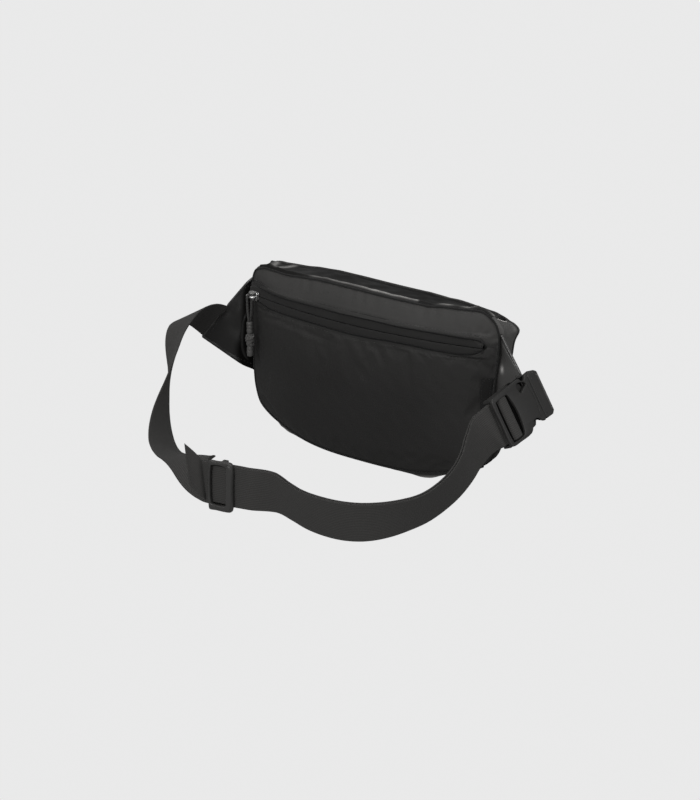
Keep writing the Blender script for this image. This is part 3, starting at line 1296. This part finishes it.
def belt_path():
    """Inner layer from the left wing to the buckle, round its bar, outer layer back, tail."""
    glide = [GLIDE_START + GLIDE_ALONG * k for k in (-2.5, .5, 14, 29, 41, 44)]
    buckle = [at_buckle(-37, 0, 1.0), at_buckle(-31, 0, 1.3)]
    line = np.vstack([BELT_LEFT[:, :3], glide, BELT_RIGHT[:, :3], buckle])
    across = np.vstack([unit(BELT_LEFT[:, 3:]), [GLIDE_ACROSS] * len(glide),
                        unit(BELT_RIGHT[:, 3:]), [BUCKLE_ACROSS] * len(buckle)])
    line, across = refine(line, across, 24)
    lengths = run_lengths(line)
    stops = even_stops(lengths, 8)
    line, across = sample(line, lengths, stops), unit(sample(across, lengths, stops))
    # even out the twist, except where the tri-glide holds the belt
    place = (line - GLIDE_START) @ GLIDE_ALONG
    free = ~((line[:, 1] < -165) & (place > -2) & (place < 44))[1:-1]
    for _ in range(3):
        mean = unit(across[:-2] + across[1:-1] + across[2:])
        across[1:-1][free] = mean[free]
    tangent = tangents(line)
    across = unit(across - tangent * np.sum(across * tangent, -1, keepdims=True))

    back_line, back_across = [], []
    for i in range(len(line) - 1, -1, -1):
        if line[i][0] < 20 and place[i] < 1:
            break
        back_line.append(line[i] - unit(np.cross(tangent[i], across[i])) * LAYER)
        back_across.append(across[i])

    loop = [at_buckle(-25, 0, 2.1)]
    for k in range(9):
        turn = math.pi * k / 8
        loop.append(at_buckle(-18.2 + 4.4 * math.sin(turn), 0, -1.6 + 3.6 * math.cos(turn)))
    for along, inward in ((-20.8, -5.2), (-22.9, -4.9), (-24.6, -3.1), (-26.4, -1.5), (-30.5, -1.0)):
        loop.append(at_buckle(along, 0, inward))

    tail = [GLIDE_START - GLIDE_ALONG * 2.5 - GLIDE_IN * (LAYER + 0.15),
            lerp(GLIDE_START - GLIDE_IN * (LAYER + 0.6), TAIL_END, 0.35),
            lerp(GLIDE_START - GLIDE_IN * 1.5, TAIL_END, 0.72), TAIL_END]
    return refine(np.vstack([line, loop, back_line, tail]),
                  np.vstack([across, [BUCKLE_ACROSS] * len(loop), back_across,
                             [GLIDE_ACROSS] * len(tail)]), 5)


belt_line, belt_across = belt_path()
# the tail is cut slanting, so its end stands upright
squared = fall(np.arange(len(belt_line)), len(belt_line) - 22, 8.0)
belt = ribbon("belt_webbing_weave", belt_line, belt_across, squared)
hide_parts("belt_webbing")
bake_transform(belt)

# hem of the belt's tail: three rows of thread across it, on both faces
tail_along = unit(TAIL_END - GLIDE_START)
tail_out = -unit(np.cross(tail_along, GLIDE_ACROSS))
rows = []
for inset in (2.2, 4.6, 17.5):
    row = TAIL_END - tail_along * inset + np.outer(np.linspace(-17.8, 17.8, 40), GLIDE_ACROSS)
    for side in (1, -1):
        rows.append(stitches(row + tail_out * side * 0.80, tail_out * side, 2.9, 2.0, 0.26, 0.0))
threads("belt_tail_stitching", rows, "webbing")

# ---------------------------------------------------------------- wings
ROOT_X = 134.6
ROOT_TOP, ROOT_BOTTOM = (17.2, -17.5), (16.6, -111)     # y, z of the root's ends
RIGHT_END_TOP, RIGHT_END_BOTTOM = np.array([157, 13, -47]), np.array([169.5, 7.5, -83])
belt_start, belt_start_across = BELT_LEFT[0, :3], unit(BELT_LEFT[0, 3:])
left_end_middle = (belt_start + unit(BELT_LEFT[1, :3] - belt_start) * 2.6
                   + np.array([0.6, 0.2, 0]))
left_end_half = belt_start_across * 20.5


def wing(part, side, end_top, end_bottom, mat, seed, rows=90, columns=90):
    """Wing from the side seam to its outer end; returns its grid before settling."""
    out = np.linspace(0, 1, rows)[:, None]          # 0 at the root
    down = np.linspace(0, 1, columns)[None, :]      # 0 at the top edge
    root_top, root_bottom = np.array([[side * ROOT_X, *ROOT_TOP], [side * ROOT_X, *ROOT_BOTTOM]])
    across, over = out[..., None], down[..., None]
    points = ((root_top * (1 - across) + end_top * across) * (1 - over)
              + (root_bottom * (1 - across) + end_bottom * across) * over)
    y = -2 * np.sin(math.pi * out) * np.sin(math.pi * down)
    edge = np.minimum(np.minimum(down, 1 - down) * 90, 30)
    # fold lines fan out of the root and soften towards the outer end
    fan = np.sin(down * 15 + 1.2 * np.sin(out * 3 + seed)) * fall(out, 0, 0.75) * ramp(out, 0, 0.08)
    y = y + 0.9 * fan * ramp(edge, 0, 6)
    y = y + 0.8 * ramp(edge, 0, 5) * ripple(out * 60, down * 80, seed, 40, 8) * ramp(out, 0, 0.1)
    if side < 0:    # a hollow at the root and a leaf-shaped fold beside it
        y = y + 4.5 * bell(out - 0.03, 0.13)
        leaf = 0.10 * np.sin(math.pi * np.clip((down - 0.25) / 0.7, 0, 1))
        y = y - 3.0 * bell(out - 0.10 - leaf, 0.07) * ramp(down, 0.28, 0.2) * fall(down, 0.85, 0.12)
    y = y - 0.5 * fall(edge, 0, 3.0) + 0.45 * bell(edge - 3.6, 0.8)
    points[..., 1] += y
    shell = sheet(part + "_shell", points, WING_T, mat, BACKWARD, edge_steps=5, centred=True)
    if side < 0:
        wear = -1.55 * fall(out - 0.20 - 0.05 * np.sin(down * 9), 0, 0.2)
        leaf = 0.09 * np.sin(math.pi * np.clip((down - 0.3) / 0.6, 0, 1))
        wear = wear + (0.9 * bell(out - 0.135 - leaf, 0.02) * ramp(down, 0.34, 0.1)
                       * fall(down, 0.86, 0.08))
    else:
        wear = (-1.6 * fall(out, 0.02, 0.14)
                + 14.0 * bell(out - 0.20, 0.06) * bell(down - 0.30, 0.03))
    paint(shell, "wear", wear)
    enrol(shell, "wing", part)
    return points


left_wing = settle(wing("wing_left", -1, left_end_middle + left_end_half,
                        left_end_middle - left_end_half, WING_L, seed=61))
right_wing = settle(wing("wing_right", 1, RIGHT_END_TOP, RIGHT_END_BOTTOM, WING_R, seed=67))

# one row of stitches along the top and bottom edges, two across the outer end
rows = []
for points in (left_wing, right_wing):
    normal = facing_normals(points, BACKWARD)
    raised = points + normal * WING_T / 2
    for j in (4, -5):
        rows.append(stitches(raised[2:-2, j], normal[2:-2, j], 3.2, 2.2, 0.24))
    for i in (-4, -8):
        rows.append(stitches(raised[i, 4:-4], normal[i, 4:-4], 2.8, 2.0, 0.26))
threads("wing_stitching", rows)
# a turned hem cord along the top edge and down the outer end
for name, points in (("wing_left_hem", left_wing), ("wing_right_hem", right_wing)):
    line = np.vstack([points[1:, 0] + [0, 0, 0.3], points[-1, 1:]])
    tube(name, resample(line, 1.0), 1.15, WING_R, "wing")

# binding strip with pale dashes between the back seam and the right wing
strip, _ = outline(np.array([arc_at(1, z) for z in np.linspace(-22, -58, 60)]))
strip = settle(np.stack([strip[:, 0] + 1.6, seam_y(strip[:, 0]) + 2.8, strip[:, 1]], -1))
tube("side_binding_strip", strip, 1.0, BINDING, "binding")
threads("side_binding_stitching",
        [stitches(strip + [0.72, -0.78, 0], unit(np.array([0.7, -0.7, 0])), 2.6, 1.9, 0.46)],
        mat=PALE_THREAD)

# ---------------------------------------------------------------- blank label
LABEL_TOP, LABEL_BOTTOM = -59.0, -91.0
x, z = np.meshgrid(np.linspace(123.4, 132.0, 14), np.linspace(LABEL_TOP, LABEL_BOTTOM, 40),
                   indexing="ij")
swell = 0.3 * np.sin(math.pi * (z - LABEL_TOP) / (LABEL_BOTTOM - LABEL_TOP))
label = on_cloth(x, z, back_cloth, -0.95 - swell)
enrol(sheet("side_label_cloth", label, 0.6, LABEL, BACKWARD), "label", "side_label")
label = settle(label)
rows = [label[2], label[-3], label[2:-2, 2], label[2:-2, -3]]
threads("side_label_stitching", [stitches(row, BACKWARD, 2.4, 1.6, 0.16) for row in rows], "label")


# ---------------------------------------------------------------- inside the pouch
def disc(name, inset, share, rows, columns, thickness, mat, slot, part):
    """Layer lying inset(x, z) inside the back dome, share of the pouch outline in size."""
    edge, normal = outline(np.linspace(0, GIRTH, rows, endpoint=False))
    edge = edge - normal * 2.0
    reach = np.linspace(0.04, 1, columns)[None]
    x = edge[:, 0, None] * reach * share
    z = CENTRE_Z + (edge[:, 1, None] - CENTRE_Z) * reach * share
    points = np.stack([x, dome(x, z) + inset(x, z), z], -1)
    inner = points - facing_normals(points, BACKWARD, closed=True) * thickness
    enrol(add_mesh(name, *slab(points, inner, closed=True), mat), slot, part)


disc("pocket_lining_cloth", lambda x, z: 5.3 + 0.25 * ripple(x, z, 71, 30), 0.94, 160, 24,
     0.6, LINING, "lining", "pocket_lining")
disc("back_foam_pad_block", lambda x, z: 7.4, 0.9, 140, 20, 4.6, PAD_FOAM, "foam",
     "back_foam_pad")

# throw rope: a rounded coil of three and a half turns, advancing by ROPE_LEAD a turn
ROPE_TURNS, ROPE_STEPS, ROPE_LEAD, ROPE_R = 3.5, 120, 8.5, 3.85


def squarish(value):
    return np.sign(value) * np.abs(value)**.75


def rope_lay(run, angle):
    twist = run * 2 * math.pi / 14
    return 1 + 0.045 * np.sin(6 * angle + twist) * np.sin(6 * angle - twist)


turns = np.arange(int(ROPE_TURNS * ROPE_STEPS) + 1) / ROPE_STEPS
angle = 2 * math.pi * turns
rope = np.stack([78 * squarish(np.cos(angle)), 13.5 + ROPE_LEAD * turns,
                 -84 + 34 * squarish(np.sin(angle))], -1)
tube("throw_rope_braid", resample(rope, 1.6), ROPE_R, ROPE, "rope", "throw_rope", sides=24,
     up=FORWARD, profile=rope_lay)

# float foam: rounded block filling the model part's box, in metres
low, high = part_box("float_foam")
work = bmesh.new()
bmesh.ops.create_cube(work, size=1.0)
for vert in work.verts:
    vert.co = Vector([(low[k] + high[k]) / 2 + vert.co[k] * (high[k] - low[k]) for k in range(3)])
bmesh.ops.bevel(work, geom=work.edges[:], offset=0.005, segments=5, affect="EDGES", profile=0.6)
mesh = bpy.data.meshes.new("float_foam_block")
work.to_mesh(mesh)
work.free()
enrol(link_mesh("float_foam_block", mesh, FLOAT_FOAM), "foam", "float_foam")


# ---------------------------------------------------------------- moulded parts
def mould(part, width):
    """A part kept from the model, its edges rounded."""
    obj = model_parts[part]
    obj.data.materials.clear()
    obj.data.materials.append(PLASTIC)
    obj.modifiers.new("weld", "WELD").merge_threshold = 2e-6
    planar = obj.modifiers.new("planar", "DECIMATE")
    planar.decimate_type = "DISSOLVE"
    planar.angle_limit = math.radians(1.0)
    add_bevel(obj, width, 28)


def plate(name, place, body, outer, near, far, bevel, mat=PLASTIC, holes=(), per_span=1,
          replaced=()):
    """A plate between depths near and far with rounded edges; per_span 1 keeps sides straight."""
    curve = bpy.data.curves.new(name + "_c", "CURVE")
    curve.dimensions, curve.fill_mode = "2D", "BOTH"
    for ring in [outer, *holes]:
        points = curve_through(ring, True, per_span)
        spline = curve.splines.new("POLY")
        spline.points.add(len(points) - 1)
        flat = np.concatenate([points, np.zeros((len(points), 1)), np.ones((len(points), 1))], 1)
        spline.points.foreach_set("co", flat.astype(np.float32).reshape(-1))
        spline.use_cyclic_u = True
    curve.extrude = max((far - near) / 2 - bevel, 0.01)
    curve.bevel_depth, curve.bevel_resolution, curve.offset = bevel, 2, -bevel
    source = bpy.data.objects.new(name + "_c", curve)
    scene.collection.objects.link(source)
    evaluated = source.evaluated_get(bpy.context.evaluated_depsgraph_get())
    mesh = bpy.data.meshes.new_from_object(evaluated)
    bpy.data.objects.remove(source)
    work = bmesh.new()
    work.from_mesh(mesh)
    bmesh.ops.remove_doubles(work, verts=work.verts[:], dist=1e-4)
    for vert in work.verts:
        along, across, depth = vert.co
        vert.co = Vector(to_model(place(along, across, depth + (near + far) / 2)))
    bmesh.ops.recalc_face_normals(work, faces=work.faces[:])
    work.to_mesh(mesh)
    work.free()
    mesh.name = name
    mesh.materials.clear()
    obj = link_mesh(name, mesh, mat)
    obj.modifiers.new("split", "EDGE_SPLIT").split_angle = math.radians(38)
    enrol(obj, "plastic", *replaced, body=body)


# Outlines are in the part's own plane: along, across.
# ---- tri-glide: a rounded frame, thin on the left and full on the right
GLIDE_FRAME = [
    (-12, -20), (-11, -22.8), (-4, -23.0), (6, -23.4), (11.4, -22.6), (12.8, -19), (12.9, 0),
    (12.8, 19), (11.4, 22.6), (6, 23.4), (-4, 23), (-11, 22.8), (-12, 20)]
GLIDE_WINDOW = [
    (-9.6, -17.6), (-8.6, -19.0), (5.2, -19.0), (6.3, -17.6), (6.3, 16.4), (5.2, 17.6),
    (-8.6, 17.6), (-9.6, 16.4)]
GLIDE_RIGHT_BAR = [
    (7.2, -20), (9.0, -21.8), (11.6, -20), (12.6, 0), (11.6, 20), (9.0, 21.8), (7.2, 20), (6.9, 0)]
GLIDE_LIP = [
    (-8.8, -18.5), (0, -18.6), (5.2, -18.4), (6.0, -17.0), (6.0, 0), (6.0, 15.8), (5.0, 17.2),
    (-8.6, 17.3)]


def glide_plate(name, outer, near, far, bevel, **options):
    plate("tri_glide_" + name, at_glide, "glide", outer, near, far, bevel, GLIDE, **options)


glide_plate("frame", GLIDE_FRAME, -7.2, -3.4, 1.1, holes=[GLIDE_WINDOW], per_span=4,
            replaced=["tri_glide"])
glide_plate("right_bar", GLIDE_RIGHT_BAR, -8.3, -5.0, 1.5, per_span=5)
glide_plate("centre_bar", rect(-2.2, -20, 2.2, 20), 1.4, 4.2, 0.8)     # behind the webbing
for k, side in enumerate((-1, 1)):
    glide_plate("end_%d" % k, rect(-2.4, side * 18.9, 2.4, side * 21.2), -5.0, 4.0, 0.6)
lip = [at_glide(along, across, -3.9) for along, across in curve_through(GLIDE_LIP, False, 8)]
tube("tri_glide_window_lip", lip, 0.5, CAVITY, "plastic", sides=8, up=GLIDE_IN, body="glide")

# ---- buckle housing: outer plate with a window for the webbing, an opening over the upper
# prong and a waist over the lower one
HOUSING = [
    (-33.2, -19.4), (-31.4, -22.2), (-22, -22.8), (-8, -23.2), (3, -23.6), (6.6, -23.0),
    (8.0, -20.9), (9.8, -19.6), (12.2, -19.6), (13.8, -21.2), (15.2, -23.0), (16.8, -22.2),
    (16.9, -10), (16.9, 10), (16.8, 20.2), (14.6, 20.8), (12.2, 19.2), (10.2, 16.2), (7.4, 14.8),
    (4.0, 14.7), (1.2, 16.2), (-1.2, 19.6), (-4.2, 22.2), (-9, 23.2), (-20, 23.0), (-31, 22.2),
    (-33.2, 19.6), (-33.4, 0)]
WINDOW = [
    (-28.9, -17.4), (-28.2, -18.2), (-14.6, -18.2), (-13.2, -17.2), (-11.2, -10), (-9.9, -2),
    (-10.0, 6), (-10.9, 13), (-12.4, 18.8), (-13.6, 19.8), (-28.2, 19.8), (-28.9, 19.0)]
PRONG_OPENING = [
    (0.1, -18.6), (1.8, -20.4), (6.2, -19.9), (10.2, -18.0), (12.2, -15.6), (10.6, -14.6),
    (6.4, -13.0), (3.0, -11.6), (1.2, -13.6)]
BACK_PLATE = [
    (-12, -22.6), (3, -23.0), (9.8, -19.4), (16.8, -21.8), (16.8, 20.0), (10.2, 16.2),
    (4.0, 14.9), (-2, 20.6), (-12, 22.6)]
CAVITY_PLATE = [
    (-11, -21.6), (3, -22.0), (9.8, -18.4), (15.8, -20.6), (15.8, 19.0), (10.2, 15.2),
    (4.0, 13.9), (-2.6, 19.4), (-11, 21.4)]
SLOT_SHADE = [
    (-13.9, -18.4), (-11.4, -18.4), (-8.9, -6), (-8.9, 8), (-11.2, 20.0), (-13.9, 20.0)]
WAIST_SHADE = [
    (-2.6, 19.6), (0.6, 14.8), (4.0, 13.4), (8.0, 13.6), (12.6, 17.6), (12.6, 19.4), (9.2, 17.0),
    (4.2, 16.6), (1.6, 18.0), (-1.0, 20.6)]


def housing_plate(name, outer, near, far, bevel, mat=PLASTIC, **options):
    plate("buckle_housing_" + name, at_buckle, "buckle_female", outer, near, far, bevel, mat,
          **options)


housing_plate("front", HOUSING, -6.5, -3.6, 0.7, holes=[WINDOW, PRONG_OPENING], per_span=4,
              replaced=["buckle_housing"])
# name, outline, nearer and farther depth, edge radius, material
for row in (
        ("back", BACK_PLATE, 3.1, 4.5, 0.6, PLASTIC),
        ("cavity", CAVITY_PLATE, 2.75, 3.1, 0.05, CAVITY),
        ("slot_edge", rect(-29.6, -18.6, -25.6, 20.2), -4.1, -3.7, 0.05, CAVITY),
        ("slot_shade", SLOT_SHADE, -3.9, -3.5, 0.05, CAVITY),
        ("front_inner", rect(-0.6, -22.2, 12.8, -10.6), 0.9, 1.2, 0.05, CAVITY),
        ("side_0", rect(-32.6, -22.2, -2, -20.2), -4.2, 4.5, 0.5, PLASTIC),
        ("side_1", rect(-32.6, 20.4, -5, 22.4), -4.2, 4.5, 0.5, PLASTIC),
        ("notch_shade", rect(6.6, -22.4, 14.8, -18.4), -3.5, -3.2, 0.05, CAVITY),
        ("waist_shade", WAIST_SHADE, -3.4, -3.0, 0.05, CAVITY)):
    housing_plate(*row)


def buckle_rib(name, along, low, high, depth, radius, bow=0.0, half_wave=1.0, count=30,
               sides=10, mat=PLASTIC, body="buckle_female"):
    """Round rib across the buckle from low to high, bowed along it by a cosine."""
    across = np.linspace(low, high, count)
    line = at_buckle(along + bow * np.cos(across / half_wave * math.pi), across, depth)
    tube(name, line, radius, mat, "plastic", sides=sides, up=BUCKLE_IN, body=body)


buckle_rib("buckle_housing_bar", -18.2, -21, 21, depth=-1.6, radius=1.8, sides=14)
buckle_rib("buckle_housing_ridge", -30.9, -19, 19.4, depth=-6.35, radius=0.55)
buckle_rib("buckle_housing_shoulder", 13.6, -16, 16, depth=-6.35, radius=0.5, bow=1.2,
           half_wave=22, count=40)
mould("buckle_base", 0.0008)
mould("latch_prong_upper", 0.0006)
mould("latch_prong_lower", 0.0006)
buckle_rib("buckle_base_edge_ridge", 28.6, -17.4, 17.4, depth=-5.75, radius=1.05, mat=GLIDE,
           body="bag")
buckle_rib("buckle_base_inner_ridge", 21.4, -17, 17, depth=-5.8, radius=0.45, bow=-1.0,
           half_wave=38, body="bag")

# the tab that holds the buckle base on the right wing
wing_end = (RIGHT_END_TOP + RIGHT_END_BOTTOM) / 2
tab = [lerp(wing_end, at_buckle(24, 0, 9), 0.12), at_buckle(24.2, 0, 6), at_buckle(23.3, 0, 1),
       at_buckle(23.3, 0, -2.3)]
tab = resample(curve_through(tab, False, 10), 1.2)
enrol(ribbon("buckle_tab_weave", tab, np.repeat(BUCKLE_ACROSS[None], len(tab), 0)), "webbing",
      "buckle_tab")

# ---------------------------------------------------------------- stage, light and camera
PALE = ((233.6 / 255 + 0.055) / 1.055)**2.4     # linear value of a pale sRGB grey
FLOOR_Z, FLOOR_HALF = -0.30, 60                 # metres, as are all places below


def camera_switch(tree, strength, lit, seen):
    """Drives a strength: seen for the camera's own rays, lit for all others."""
    path = tree.nodes.new("ShaderNodeLightPath")
    switch = tree.nodes.new("ShaderNodeMapRange")
    tree.links.new(path.outputs["Is Camera Ray"], switch.inputs["Value"])
    set_inputs(switch, {"To Min": lit, "To Max": seen})
    tree.links.new(switch.outputs[0], strength)


def emission(name, lit, seen):
    material = bpy.data.materials.new(name)
    material.use_nodes = True
    tree = material.node_tree
    tree.nodes.clear()
    output = tree.nodes.new("ShaderNodeOutputMaterial")
    glow = tree.nodes.new("ShaderNodeEmission")
    camera_switch(tree, glow.inputs["Strength"], lit, seen)
    tree.links.new(glow.outputs[0], output.inputs["Surface"])
    return material


mesh = bpy.data.meshes.new("floor")
mesh.from_pydata([(x, y, FLOOR_Z) for x, y in rect(-FLOOR_HALF, -FLOOR_HALF, FLOOR_HALF, FLOOR_HALF)],
                 [], [(0, 1, 2, 3)])
mesh.materials.append(emission("floor_pale", lit=0.30, seen=PALE))
floor = bpy.data.objects.new("floor", mesh)
scene.collection.objects.link(floor)

studio = bpy.data.worlds.new("studio")
scene.world = studio
studio.use_nodes = True
background = studio.node_tree.nodes["Background"]
camera_switch(studio.node_tree, background.inputs["Strength"], lit=0.36, seen=PALE)
background.inputs["Color"].default_value = (1, 1, 1, 1)


def area_light(name, place, target, size, power):
    light = bpy.data.lights.new(name, "AREA")
    light.shape = "RECTANGLE"
    light.size, light.size_y = size
    light.energy = power
    obj = bpy.data.objects.new(name, light)
    obj.location = place
    obj.rotation_mode = "QUATERNION"
    obj.rotation_quaternion = (Vector(target) - Vector(place)).to_track_quat("-Z", "Y")
    scene.collection.objects.link(obj)


area_light("key_top", place=(0.1, -0.25, 1.7), target=(0, -0.05, 0.0), size=(1.3, 0.5), power=8)
area_light("front_key", place=(0.35, -2.1, 1.15), target=(0, -0.08, 0), size=(1.5, 0.9), power=36)
area_light("glint_left", place=(-1.06, 0.42, 1.64), target=(0, -0.04, 0.05), size=(0.45, 0.45),
           power=2.5)
area_light("rim_right", place=(1.6, -0.1, 0.7), target=(0.1, -0.05, 0), size=(0.6, 1.2), power=8)

CAMERA_PLACE = (1.14344, -1.70532, 0.77952)
# columns: the camera's right, up and backward directions
CAMERA_TURN = Matrix(((0.81848192, -0.21308852, 0.53355472),
                      (0.57453229, 0.3035671, -0.76010503),
                      (0.0, 0.92867664, 0.37089042)))
lens = bpy.data.cameras.new("camera")
camera = bpy.data.objects.new("camera", lens)
scene.collection.objects.link(camera)
lens.lens, lens.sensor_width = 108.0, 36.0
lens.sensor_fit = "AUTO"
lens.clip_start, lens.clip_end = 0.05, 200.0
camera.matrix_world = Matrix.Translation(CAMERA_PLACE) @ CAMERA_TURN.to_4x4()
scene.camera = camera
scene.view_settings.view_transform = "Standard"
scene.view_settings.look = "None"
scene.view_settings.exposure = 0.0
scene.view_settings.gamma = 1.0

bpy.context.view_layer.update()
